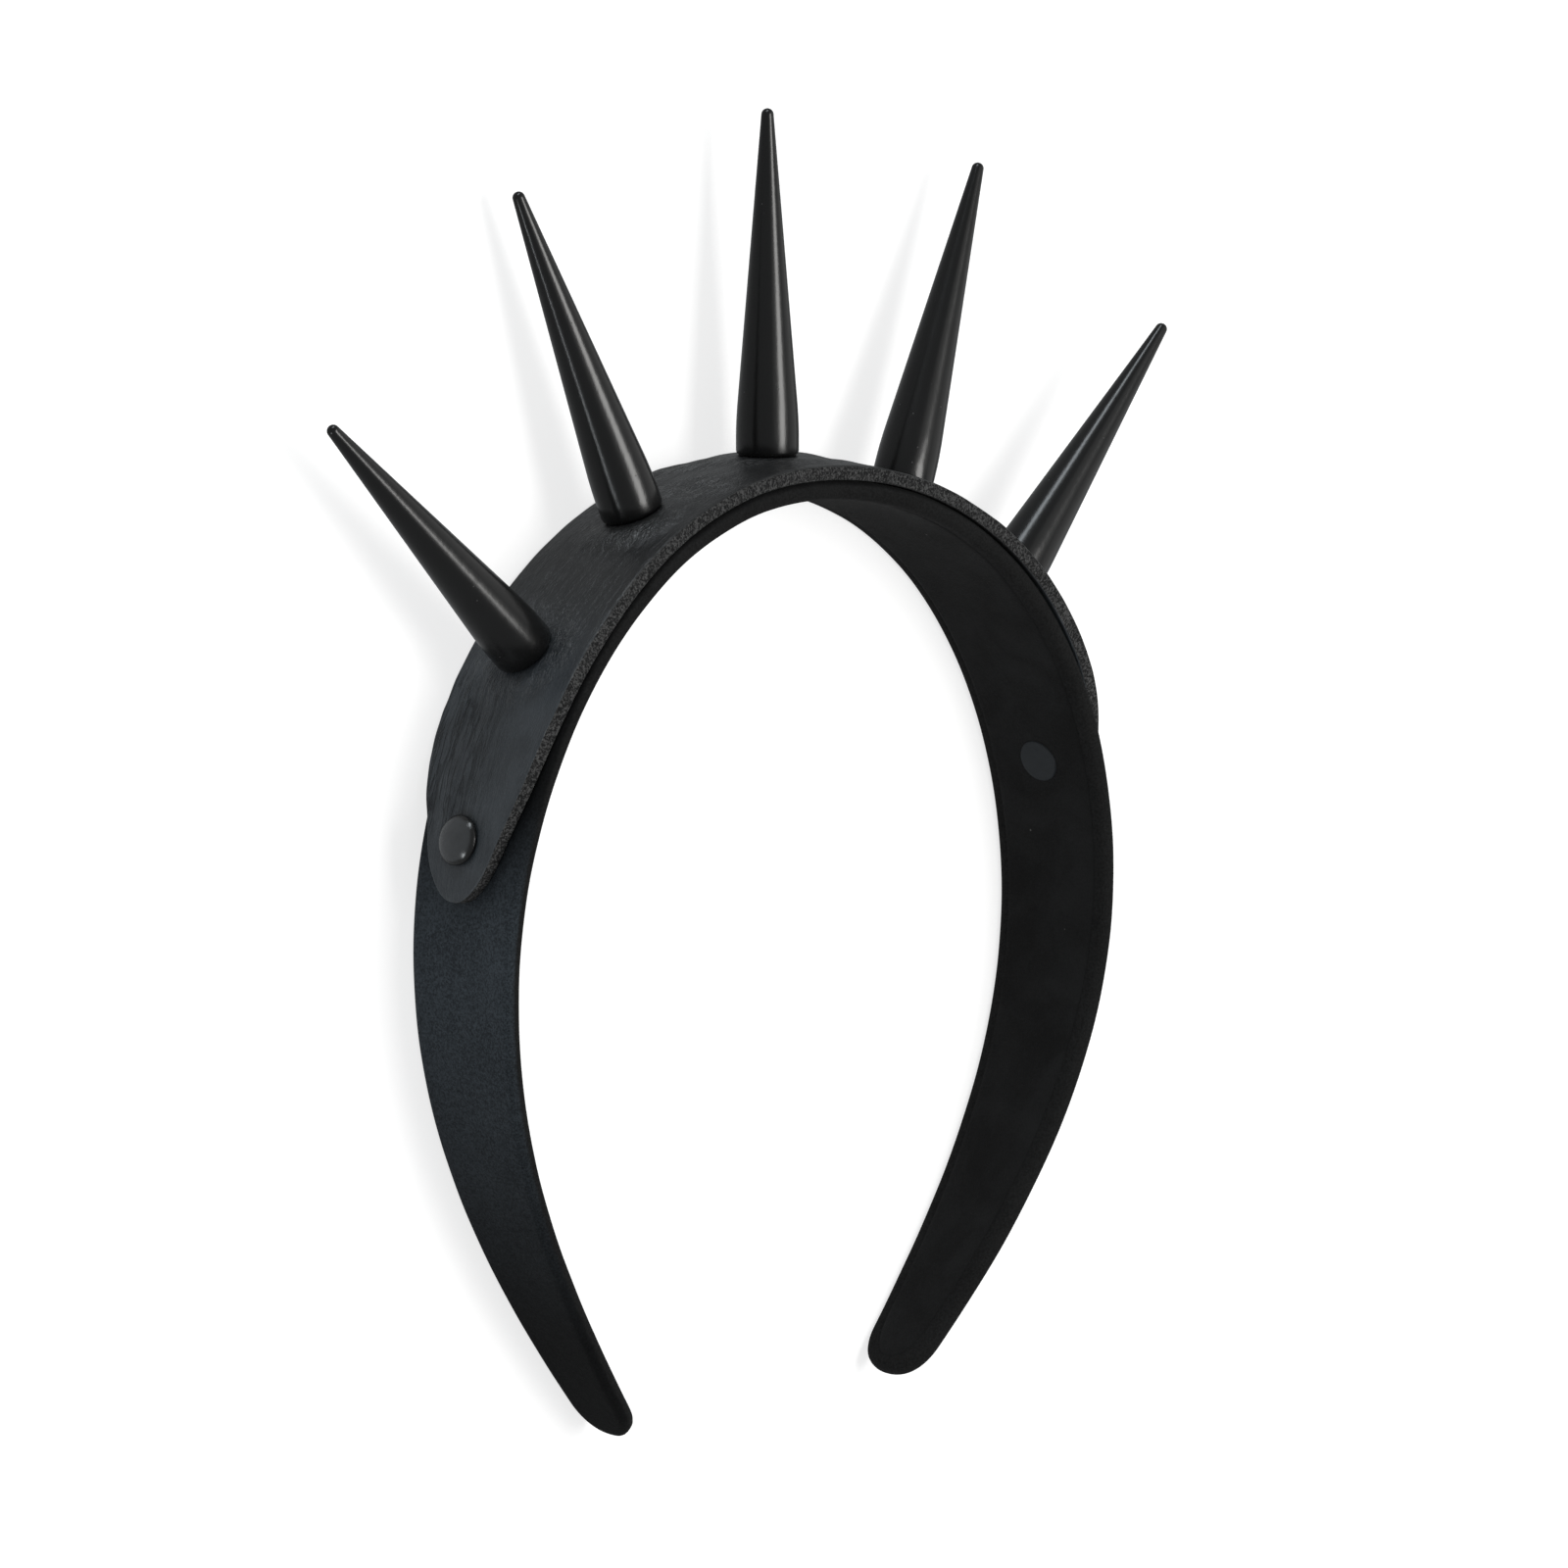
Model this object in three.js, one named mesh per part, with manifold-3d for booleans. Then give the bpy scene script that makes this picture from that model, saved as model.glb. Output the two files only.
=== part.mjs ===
// Spiked headband: a stiff band covered in dark fabric with a soft lining inside, and a leather strap
// with five long spikes, riveted on the outside of the band. It lies on its back edge, so the floor is
// at z = 0, its front edge looks up, the top of the band points to +Y and its legs to -Y.
import * as THREE from 'three';
import { mergeVertices } from 'three/addons/utils/BufferGeometryUtils.js';
import Module from 'manifold-3d';

const wasm = await Module();
wasm.setup();

// Sizes are in millimetres and angles in degrees. An arc is a distance along the middle of the band's
// wall from the top of the band, less than zero on the left leg and more than zero on the right one.
const BAND_HALF_LENGTH = 181.8;
const BAND_WIDTH = 22.5;
const BAND_WALL = 2.8;
const BAND_EDGE = 0.5;
const BAND_END_ROUND = 6.5;
const BAND_CROWN = 0.8;

const LINING_WALL = 1;
const LINING_EDGE = 0.3;
const LINING_BORDER = 2.5;
const LINING_PROUD = 0.2;

const STRAP_HALF_LENGTH = 90;
const STRAP_WALL = 1.8;
const STRAP_EDGE = 0.3;
const STRAP_END_ROUND = 6.8;
const STRAP_GAP = 0.5;
const STRAP_BULGE = 0.3;
const STRAP_FLOOR_GAP = 0.3;

const SPIKE = { height: 49.7, radius: 4.55, tipRadius: 0.9, straightFoot: 5, chamfer: 0.5 };
const SEAT = { lift: 0.2, margin: 0.65, blend: 4.8 };
const SCREW = { headRadius: 3, headHeight: 0.5, shankRadius: 1.6, reach: 9, spareBore: 3 };
const RIVET = {
  fromStrapEnd: 8.3, capRadius: 3.6, rim: 0.5, dome: 1.5,
  headRadius: 3.3, headProud: 0.3, shankRadius: 1.3, shankReach: 0.6,
};

const CLEARANCE = 0.3;
const FACETS = 16;

// The band from its top to the end of a leg: its width and its wall's bulge as shares of the sizes
// above, how far its front edge flares out, and each leg's bend, as the angle that the whole half
// length would turn at that bend.
const BAND_ROWS = [
  { share: 0.00, width: 0.900, crown: 1.00, flare: 0.5, bendLeft: 150, bendRight: 146 },
  { share: 0.12, width: 0.965, crown: 0.75, flare: 0.9, bendLeft: 184, bendRight: 174 },
  { share: 0.25, width: 1.000, crown: 0.33, flare: 1.4, bendLeft: 180, bendRight: 163 },
  { share: 0.38, width: 0.980, crown: 0.00, flare: 2.0, bendLeft: 155, bendRight: 138 },
  { share: 0.50, width: 0.930, crown: 0.00, flare: 2.6, bendLeft: 156, bendRight: 146 },
  { share: 0.62, width: 0.865, crown: 0.00, flare: 3.2, bendLeft: 142, bendRight: 154 },
  { share: 0.75, width: 0.760, crown: 0.00, flare: 3.8, bendLeft: 94, bendRight: 114 },
  { share: 0.88, width: 0.625, crown: 0.00, flare: 4.4, bendLeft: 49, bendRight: 57 },
  { share: 1.00, width: 0.465, crown: 0.00, flare: 4.9, bendLeft: 25, bendRight: 27 },
];

// The strap from its top to its rounded tongue: its width as a share of the band's, and how much of
// its bulge lifts it off the band there.
const STRAP_ROWS = [
  { share: 0.00, width: 0.900, bulge: 0.0 },
  { share: 0.30, width: 0.965, bulge: 0.0 },
  { share: 0.60, width: 1.000, bulge: 1.0 },
  { share: 0.80, width: 0.875, bulge: 1.0 },
  { share: 1.00, width: 0.385, bulge: 0.0 },
];

// Where each spike stands, as a share of the strap's half length, how far it leans towards +X along
// the strap, and how far it nods down to the back.
const SPIKE_ROWS = [
  { name: 'spike_1', share: -0.606, leanRight: 4.6, nodBack: 1.6 },
  { name: 'spike_2', share: -0.311, leanRight: 3.8, nodBack: 6.0 },
  { name: 'spike_3', share: 0.000, leanRight: -1.2, nodBack: 0.0 },
  { name: 'spike_4', share: 0.303, leanRight: -1.9, nodBack: 3.2 },
  { name: 'spike_5', share: 0.602, leanRight: -7.7, nodBack: -2.6 },
];

// Distances out from the middle of the band's wall.
const BAND_INNER = -BAND_WALL / 2;
const BAND_OUTER = BAND_WALL / 2;
const LINING_INNER = BAND_INNER - LINING_PROUD;
const LINING_OUTER = LINING_INNER + LINING_WALL;

const rad = THREE.MathUtils.degToRad;

// A smooth curve through one column of a table. It starts level, so both legs meet without a corner.
function column(rows, key) {
  const shares = rows.map((row) => row.share);
  const values = rows.map((row) => row[key]);
  const curve = new THREE.CubicInterpolant(shares, values, 1);
  curve.settings = { endingStart: THREE.ZeroSlopeEnding, endingEnd: THREE.ZeroCurvatureEnding };
  return (share) => curve.evaluate(Math.min(share, 1))[0];
}

const bandShare = (arc) => Math.abs(arc) / BAND_HALF_LENGTH;
const strapShare = (arc) => Math.abs(arc) / STRAP_HALF_LENGTH;
const bandWidths = column(BAND_ROWS, 'width');
const crowns = column(BAND_ROWS, 'crown');
const flares = column(BAND_ROWS, 'flare');
const strapWidths = column(STRAP_ROWS, 'width');
const bulges = column(STRAP_ROWS, 'bulge');

const bandHalfWidth = (arc) => (BAND_WIDTH / 2) * bandWidths(bandShare(arc));
const flareSlope = (arc) => Math.tan(rad(flares(bandShare(arc))));
const strapHalfWidth = (arc) => (BAND_WIDTH / 2) * strapWidths(strapShare(arc));
const strapGap = (arc) => STRAP_GAP + STRAP_BULGE * bulges(strapShare(arc));
const strapOuter = (arc) => BAND_OUTER + strapGap(arc) + STRAP_WALL;

// A leg's middle line, walked in short even steps from the top of the band.
const WALK_STEPS = 360;
const WALK_STEP = BAND_HALF_LENGTH / WALK_STEPS;

function walkLeg(bends) {
  const line = [{ x: 0, y: 0, angle: 0 }];
  for (let i = 0; i < WALK_STEPS; i++) {
    const from = line.at(-1);
    const turn = rad(bends((i + 0.5) / WALK_STEPS)) / WALK_STEPS;
    const heading = from.angle + turn / 2;
    line.push({
      x: from.x + WALK_STEP * Math.cos(heading),
      y: from.y - WALK_STEP * Math.sin(heading),
      angle: from.angle + turn,
    });
  }
  return line;
}

const LEFT_LEG = walkLeg(column(BAND_ROWS, 'bendLeft'));
const RIGHT_LEG = walkLeg(column(BAND_ROWS, 'bendRight'));

// The band's middle line at an arc: its point, and the directions along it and out of it.
function spine(arc) {
  const side = arc < 0 ? -1 : 1;
  const line = arc < 0 ? LEFT_LEG : RIGHT_LEG;
  const steps = Math.abs(arc) / WALK_STEP;
  const index = Math.min(Math.floor(steps), WALK_STEPS - 1);
  const mix = (key) => THREE.MathUtils.lerp(line[index][key], line[index + 1][key], steps - index);
  const angle = mix('angle');
  return {
    point: new THREE.Vector3(side * mix('x'), mix('y'), 0),
    along: new THREE.Vector3(Math.cos(angle), -side * Math.sin(angle), 0),
    out: new THREE.Vector3(side * Math.sin(angle), Math.cos(angle), 0),
  };
}

// The place at an arc, a height above the floor and a distance out from the middle of the band's wall,
// moved by the wall's flare and bulge.
function place(arc, height, out) {
  const at = spine(arc);
  const middle = bandHalfWidth(arc);
  const offset = height - middle;
  const bulge = BAND_CROWN * crowns(bandShare(arc)) * (offset / middle) ** 2;
  const point = at.point.clone().addScaledVector(at.out, out + offset * flareSlope(arc) - bulge);
  return point.setZ(height);
}

// The share of its width that a rounded end keeps towards its tip. The tip stays a little blunt, and
// the end is slightly squarer than an ellipse.
const TIP_REACH = 0.97;
const END_POWER = 2.4;

function endShare(arc, reach, round) {
  const past = THREE.MathUtils.clamp((Math.abs(arc) - (reach - round)) / round, 0, 1) * TIP_REACH;
  return (1 - past ** END_POWER) ** (1 / END_POWER);
}

// Arcs of a plate's cross sections: even along its length, and closer together around its ends.
const END_STEPS = 4;

function sectionArcs(reach, round, evenSteps) {
  const straight = reach - round;
  const arcs = [];
  for (let i = 0; i <= evenSteps; i++) {
    arcs.push(THREE.MathUtils.lerp(-straight, straight, i / evenSteps));
  }
  for (let i = 1; i <= END_STEPS; i++) {
    const end = straight + round * Math.sin((i / END_STEPS) * (Math.PI / 2));
    arcs.push(end);
    arcs.unshift(-end);
  }
  return arcs;
}

// A plate bent along the band. Its section is a flat bar with its four long edges cut off. Its gap
// lifts the whole plate, and its rise lifts its outer face alone.
const THROUGH_STEPS = 3;

function bentPlate({ reach, round, evenSteps, acrossSteps, inner, outer, edge, low, high, gap, rise }) {
  const arcs = sectionArcs(reach, round, evenSteps);
  const box = new THREE.BoxGeometry(2, 2, 2, arcs.length - 1, THROUGH_STEPS, acrossSteps);
  const position = box.attributes.position;
  const outs = [inner, inner + edge, outer - edge, outer];
  for (let i = 0; i < position.count; i++) {
    const arc = arcs[Math.round(((position.getX(i) + 1) / 2) * (arcs.length - 1))];
    const level = Math.round(((position.getY(i) + 1) / 2) * THROUGH_STEPS);
    const cut = level === 0 || level === THROUGH_STEPS ? edge : 0;
    const half = ((high(arc) - low(arc)) / 2) * endShare(arc, reach, round) - cut;
    const height = (low(arc) + high(arc)) / 2 + position.getZ(i) * half;
    const faceRise = level === THROUGH_STEPS ? rise(arc, height) : 0;
    const point = place(arc, height, outs[level] + gap(arc) + faceRise);
    position.setXYZ(i, point.x, point.y, point.z);
  }
  return box;
}

const zero = () => 0;

// Closed solids for cutting, and back.
function toSolid(geometry) {
  const bare = geometry.clone();
  bare.deleteAttribute('normal');
  bare.deleteAttribute('uv');
  const merged = mergeVertices(bare, 1e-4);
  return new wasm.Manifold(new wasm.Mesh({
    numProp: 3,
    vertProperties: new Float32Array(merged.attributes.position.array),
    triVerts: new Uint32Array(merged.index.array),
  }));
}

function cutAway(geometry, cutters) {
  const solid = cutters.reduce((left, cutter) => left.subtract(toSolid(cutter)), toSolid(geometry));
  const mesh = solid.getMesh();
  const result = new THREE.BufferGeometry();
  result.setAttribute('position', new THREE.BufferAttribute(mesh.vertProperties, 3));
  result.setIndex(new THREE.BufferAttribute(mesh.triVerts, 1));
  result.computeVertexNormals();
  return result;
}

// Round pieces are turned about their own Y axis, and a pose stands that axis at a point.
function turned(points) {
  return new THREE.LatheGeometry(points.map(([x, y]) => new THREE.Vector2(x, y)), FACETS);
}

function standAt(point, axis) {
  const turn = new THREE.Quaternion().setFromUnitVectors(new THREE.Vector3(0, 1, 0), axis);
  return new THREE.Matrix4().compose(point, turn, new THREE.Vector3(1, 1, 1));
}

function drill(pose, radius, from, to) {
  const cylinder = new THREE.CylinderGeometry(radius, radius, to - from, FACETS);
  return cylinder.translate(0, (from + to) / 2, 0).applyMatrix4(pose);
}

// A dome's profile from its outer edge at a height up to its axis.
function domeProfile(radius, height, rise, angles) {
  const at = (angle) => [radius * Math.cos(rad(angle)), height + rise * Math.sin(rad(angle))];
  return [...angles.map(at), [0, height + rise]];
}

// A headed pin's profile, from the head's underside to the shank's end.
function pinProfile(headRadius, headFoot, headTop, shankRadius, end) {
  return [
    [0, headFoot],
    [headRadius, headFoot],
    [headRadius, headTop],
    [shankRadius, headTop],
    [shankRadius, end],
    [0, end],
  ];
}

// Each spike stands on a flat seat. The screw below it has its head in a pocket under the leather,
// clear of the band although the spike leans, and its shank in the spike.
function spikeSeat(row) {
  const arc = row.share * STRAP_HALF_LENGTH;
  const at = spine(arc);
  const height = bandHalfWidth(arc);
  const axis = at.out.clone()
    .addScaledVector(at.along, Math.tan(rad(row.leanRight)))
    .addScaledVector(new THREE.Vector3(0, 0, -1), Math.tan(rad(row.nodBack)))
    .normalize();
  const middle = place(arc, height, strapOuter(arc) + SEAT.lift);
  const leanSlope = Math.tan(axis.angleTo(at.out)) + flareSlope(arc);
  const bandBelow = SEAT.lift + STRAP_WALL + strapGap(arc);
  const headFoot = CLEARANCE + SCREW.headRadius * leanSlope - bandBelow;
  return { name: row.name, arc, height, axis, middle, pose: standAt(middle, axis), headFoot };
}

const SEATS = SPIKE_ROWS.map(spikeSeat);

// The leather's face rises or sinks around a spike to meet its flat foot.
function seatRise(arc, height) {
  const flatRadius = SPIKE.radius + SEAT.margin;
  let rise = 0;
  for (const seat of SEATS) {
    const away = Math.hypot(arc - seat.arc, height - seat.height);
    const pull = 1 - THREE.MathUtils.smoothstep(away, flatRadius, flatRadius + SEAT.blend);
    if (pull > 0) {
      const toSeat = seat.middle.clone().sub(place(arc, height, strapOuter(arc)));
      rise += (pull * toSeat.dot(seat.axis)) / spine(arc).out.dot(seat.axis);
    }
  }
  return rise;
}

function spikeGeometry() {
  const { height, radius, tipRadius, straightFoot, chamfer } = SPIKE;
  const bore = SCREW.shankRadius + CLEARANCE;
  const boreTop = SCREW.reach + SCREW.spareBore;
  const foot = CLEARANCE;
  return turned([
    [0, boreTop],
    [bore, boreTop - bore],
    [bore, foot],
    [radius - chamfer, foot],
    [radius, foot + chamfer],
    [radius, foot + straightFoot],
    ...domeProfile(tipRadius, foot + height - tipRadius, tipRadius, [5, 35, 62]),
  ]);
}

function screwGeometry({ headFoot }) {
  const { headRadius, headHeight, shankRadius, reach } = SCREW;
  return turned(pinProfile(headRadius, headFoot, headFoot + headHeight, shankRadius, reach));
}

// The two rivets that hold the strap's tongues to the band.
const RIVET_ARC = STRAP_HALF_LENGTH - RIVET.fromStrapEnd;
const RIVET_SEAT = strapOuter(RIVET_ARC);
const RIVET_HOLE = RIVET.shankRadius + CLEARANCE;
const FAR_IN = LINING_INNER - STRAP_WALL;
const FAR_OUT = RIVET_SEAT + STRAP_WALL;

function rivetPose(arc) {
  const normal = spine(arc).out.clone().add(new THREE.Vector3(0, 0, -flareSlope(arc)));
  return standAt(place(arc, bandHalfWidth(arc), 0), normal.normalize());
}

const RIVETS = [
  { name: 'left', pose: rivetPose(-RIVET_ARC) },
  { name: 'right', pose: rivetPose(RIVET_ARC) },
];

function rivetCapGeometry() {
  const { capRadius, rim, dome, shankReach } = RIVET;
  const foot = RIVET_SEAT + CLEARANCE;
  const boreTop = foot + shankReach + CLEARANCE;
  return turned([
    [0, boreTop],
    [RIVET_HOLE, boreTop],
    [RIVET_HOLE, foot],
    [capRadius, foot],
    ...domeProfile(capRadius, foot + rim, dome, [0, 22, 45, 68]),
  ]);
}

function rivetPostGeometry() {
  const { headRadius, headProud, shankRadius, shankReach } = RIVET;
  const end = RIVET_SEAT + CLEARANCE + shankReach;
  return turned(pinProfile(headRadius, LINING_INNER - headProud, LINING_OUTER, shankRadius, end));
}

// The lining, or with some room added around it the pocket in the band that it lies in.
function liningPlate(room) {
  return bentPlate({
    reach: BAND_HALF_LENGTH - LINING_BORDER + room,
    round: BAND_END_ROUND,
    evenSteps: 52,
    acrossSteps: 2,
    inner: LINING_INNER - room,
    outer: LINING_OUTER + room,
    edge: LINING_EDGE,
    low: () => LINING_BORDER - room,
    high: (arc) => 2 * bandHalfWidth(arc) - LINING_BORDER + room,
    gap: zero,
    rise: zero,
  });
}

function liningGeometry() {
  const hole = RIVET.headRadius + CLEARANCE;
  return cutAway(liningPlate(0), RIVETS.map(({ pose }) => drill(pose, hole, FAR_IN, FAR_OUT)));
}

function bandGeometry() {
  const plate = bentPlate({
    reach: BAND_HALF_LENGTH,
    round: BAND_END_ROUND,
    evenSteps: 64,
    acrossSteps: 4,
    inner: BAND_INNER,
    outer: BAND_OUTER,
    edge: BAND_EDGE,
    low: zero,
    high: (arc) => 2 * bandHalfWidth(arc),
    gap: zero,
    rise: zero,
  });
  const holes = RIVETS.map(({ pose }) => drill(pose, RIVET_HOLE, FAR_IN, FAR_OUT));
  return cutAway(plate, [liningPlate(CLEARANCE), ...holes]);
}

function strapGeometry() {
  const plate = bentPlate({
    reach: STRAP_HALF_LENGTH,
    round: STRAP_END_ROUND,
    evenSteps: 56,
    acrossSteps: 7,
    inner: BAND_OUTER,
    outer: BAND_OUTER + STRAP_WALL,
    edge: STRAP_EDGE,
    low: (arc) => Math.max(bandHalfWidth(arc) - strapHalfWidth(arc), STRAP_FLOOR_GAP),
    high: (arc) => bandHalfWidth(arc) + strapHalfWidth(arc),
    gap: strapGap,
    rise: seatRise,
  });
  const cutters = RIVETS.map(({ pose }) => drill(pose, RIVET_HOLE, FAR_IN, FAR_OUT));
  for (const { pose, headFoot } of SEATS) {
    const under = headFoot - STRAP_WALL;
    const pocketTop = headFoot + SCREW.headHeight + CLEARANCE;
    cutters.push(drill(pose, SCREW.shankRadius + CLEARANCE, under, SCREW.reach));
    cutters.push(drill(pose, SCREW.headRadius + CLEARANCE, under, pocketTop));
  }
  return cutAway(plate, cutters);
}

// Materials.
function finish(color, roughness, metalness) {
  return new THREE.MeshStandardMaterial({ color, roughness, metalness });
}

const fabric = () => finish(0x16191b, 0.9, 0);
const velvet = () => finish(0x0b0c0d, 1, 0);
const leather = () => finish(0x25292c, 0.6, 0);
const gloss = () => finish(0x0d0e0f, 0.15, 0);
const blackMetal = () => finish(0x202224, 0.35, 0.8);

// The assembly, with the origin in the middle of the floor that its bounding box covers.
const headband = new THREE.Group();
headband.name = 'spiked_headband';

function add(name, geometry, material, pose = new THREE.Matrix4()) {
  const mesh = new THREE.Mesh(geometry, material);
  mesh.name = name;
  pose.decompose(mesh.position, mesh.quaternion, mesh.scale);
  headband.add(mesh);
}

add('hair_band', bandGeometry(), fabric());
add('band_lining', liningGeometry(), velvet());
add('spike_strap', strapGeometry(), leather());
for (const seat of SEATS) {
  add(seat.name, spikeGeometry(), gloss(), seat.pose);
  add(`${seat.name}_screw`, screwGeometry(seat), blackMetal(), seat.pose);
}
for (const { name, pose } of RIVETS) {
  add(`rivet_cap_${name}`, rivetCapGeometry(), blackMetal(), pose);
  add(`rivet_post_${name}`, rivetPostGeometry(), blackMetal(), pose);
}

headband.updateMatrixWorld(true);
const box = new THREE.Box3().setFromObject(headband, true);
const centre = box.getCenter(new THREE.Vector3());
headband.position.set(-centre.x, -centre.y, -box.min.z);

export default headband;
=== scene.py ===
import bisect
import math
from functools import lru_cache

import bmesh
import bpy
from mathutils import Matrix, Vector, noise


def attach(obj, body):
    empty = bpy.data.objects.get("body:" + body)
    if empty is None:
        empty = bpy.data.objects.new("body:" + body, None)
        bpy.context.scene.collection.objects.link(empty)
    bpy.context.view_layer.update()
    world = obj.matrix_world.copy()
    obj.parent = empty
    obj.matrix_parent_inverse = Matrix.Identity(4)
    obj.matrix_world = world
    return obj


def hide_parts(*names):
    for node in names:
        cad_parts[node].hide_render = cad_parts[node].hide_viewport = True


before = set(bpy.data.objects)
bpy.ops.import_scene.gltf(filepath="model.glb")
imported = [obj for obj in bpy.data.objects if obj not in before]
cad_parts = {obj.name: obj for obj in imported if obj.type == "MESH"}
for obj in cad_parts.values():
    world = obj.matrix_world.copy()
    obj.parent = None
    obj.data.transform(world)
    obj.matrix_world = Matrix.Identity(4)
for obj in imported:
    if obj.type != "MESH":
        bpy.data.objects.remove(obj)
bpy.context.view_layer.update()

# Sizes are in millimetres. The flat layout of a bent piece runs X along the band from its top, Y across
# it from its back edge, and Z outwards: from the middle of the band's wall on the band and its lining, and
# from the strap's own inner face on the strap. The bend then carries it round.
MM = 0.001
# where the middle of the band's wall passes the top
TOP = Vector((1.924, 41.870, 0))

BAND_HALF_LENGTH = 181.8
BAND_WIDTH = 22.5
BAND_WALL = 2.8
BAND_END_ROUND = 6.5
BAND_CROWN = 0.8
BAND_RIM_ROUND = 1.1
LINING_WALL = 1
LINING_BORDER = 2.5
LINING_PROUD = 0.2
LINING_LIP = 0.5
LINING_LIP_WALL = 0.17
LINING_FACE_INSET = 0.2
STRAP_HALF_LENGTH = 90
STRAP_WALL = 1.8
STRAP_RIM_ROUND = 0.3
STRAP_END_ROUND = 6.8
STRAP_GAP = 0.5
STRAP_BULGE = 0.3
STRAP_FLOOR_GAP = 0.3
SPIKE_HEIGHT = 49.7
SPIKE_RADIUS = 4.55
SPIKE_TIP_RADIUS = 0.9
SPIKE_STRAIGHT_FOOT = 5
SPIKE_FOOT_CHAMFER = 0.45
SEAT_LIFT = 0.2
SEAT_FLAT = 5.2
SEAT_BLEND = 4.8
RIVET_FROM_STRAP_END = 8.3
RIVET_CAP_RADIUS = 3.6
RIVET_RIM = 0.5
RIVET_DOME = 1.5
RIVET_HEAD_RADIUS = 3.3
RIVET_HEAD_PROUD = 0.3
RIVET_SHANK_RADIUS = 1.3
CLEARANCE = 0.3
POCKET_GAP = 0.05
POCKET_FOOT_INSET = 0.1
POCKET_FOOT_RISE = 0.15
POCKET_EDGE_INSET = 0.12
POCKET_EDGE_DROP = 0.3
POCKET_EDGE_CORNER = 0.03
STRAP_UNDERSIDE_GAP = 0.15
STRAP_FACE_MARGIN = 0.2
STANDING_GAP = 0.05

BAND_INNER = -BAND_WALL / 2
BAND_OUTER = BAND_WALL / 2
LINING_INNER = BAND_INNER - LINING_PROUD

# share of the half length, shares of the width and the crown, flare in degrees, and the bend of the left
# and the right leg in degrees for a half length
BAND_ROWS = [
    (0.00, 0.900, 1.00, 0.5, 150, 146),
    (0.12, 0.965, 0.75, 0.9, 184, 174),
    (0.25, 1.000, 0.33, 1.4, 180, 163),
    (0.38, 0.980, 0.00, 2.0, 155, 138),
    (0.50, 0.930, 0.00, 2.6, 156, 146),
    (0.62, 0.865, 0.00, 3.2, 142, 154),
    (0.75, 0.760, 0.00, 3.8, 94, 114),
    (0.88, 0.625, 0.00, 4.4, 49, 57),
    (1.00, 0.465, 0.00, 4.9, 25, 27),
]
# share of the half length, width as a share of the band's, share of the bulge
STRAP_ROWS = [
    (0.00, 0.900, 0.0),
    (0.30, 0.965, 0.0),
    (0.60, 1.000, 1.0),
    (0.80, 0.875, 1.0),
    (1.00, 0.385, 0.0),
]
# name, share of the strap's half length, lean along the strap and nod to the back in degrees
SPIKE_ROWS = [
    ("spike_1", -0.606, 4.6, 1.6),
    ("spike_2", -0.311, 3.8, 6.0),
    ("spike_3", 0.000, -1.2, 0.0),
    ("spike_4", 0.303, -1.9, 3.2),
    ("spike_5", 0.602, -7.7, -2.6),
]


def curve_through(rows, column):
    """A smooth curve through a table's column, level at its start and straight on at its end."""
    shares = [row[0] for row in rows]
    values = [row[column] for row in rows]
    rises = [(b - a) / (t - s) for a, b, s, t in zip(values, values[1:], shares, shares[1:])]
    slopes = [0.0, *[(a + b) / 2 for a, b in zip(rises, rises[1:])], rises[-1]]

    @lru_cache(maxsize=None)
    def at(share):
        share = min(share, 1.0)
        i = min(bisect.bisect_right(shares, share), len(shares) - 1) - 1
        span = shares[i + 1] - shares[i]
        p = (share - shares[i]) / span
        q = 1 - p
        start = (1 + 2 * p) * values[i] + p * span * slopes[i]
        end = (3 - 2 * p) * values[i + 1] - q * span * slopes[i + 1]
        return q * q * start + p * p * end

    return at


band_widths = curve_through(BAND_ROWS, 1)
crowns = curve_through(BAND_ROWS, 2)
flares = curve_through(BAND_ROWS, 3)
strap_widths = curve_through(STRAP_ROWS, 1)
bulges = curve_through(STRAP_ROWS, 2)


def band_half_width(arc):
    return BAND_WIDTH / 2 * band_widths(abs(arc) / BAND_HALF_LENGTH)


def flare_slope(arc):
    return math.tan(math.radians(flares(abs(arc) / BAND_HALF_LENGTH)))


def strap_half_width(arc):
    return BAND_WIDTH / 2 * strap_widths(abs(arc) / STRAP_HALF_LENGTH)


def strap_inner(arc):
    return BAND_OUTER + STRAP_GAP + STRAP_BULGE * bulges(abs(arc) / STRAP_HALF_LENGTH)


def strap_outer(arc):
    return strap_inner(arc) + STRAP_WALL


# The bend: each leg's middle line is walked in short even steps from the top of the band.
WALK_STEPS = 360
WALK_STEP = BAND_HALF_LENGTH / WALK_STEPS


def walk_leg(bends):
    line = [(0.0, 0.0, 0.0)]
    for i in range(WALK_STEPS):
        x, y, angle = line[-1]
        turn = math.radians(bends((i + 0.5) / WALK_STEPS)) / WALK_STEPS
        heading = angle + turn / 2
        line.append((x + WALK_STEP * math.cos(heading), y - WALK_STEP * math.sin(heading), angle + turn))
    return line


LEFT_LEG = walk_leg(curve_through(BAND_ROWS, 4))
RIGHT_LEG = walk_leg(curve_through(BAND_ROWS, 5))


@lru_cache(maxsize=None)
def spine(arc):
    """The band's middle line at an arc: its point, the way along it and the way out of it."""
    side, line = (-1, LEFT_LEG) if arc < 0 else (1, RIGHT_LEG)
    steps = abs(arc) / WALK_STEP
    index = min(int(steps), WALK_STEPS - 1)
    x, y, angle = (a + (b - a) * (steps - index) for a, b in zip(line[index], line[index + 1]))
    along = Vector((math.cos(angle), -side * math.sin(angle), 0))
    return Vector((side * x, y, 0)), along, Vector((side * math.sin(angle), math.cos(angle), 0))


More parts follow.
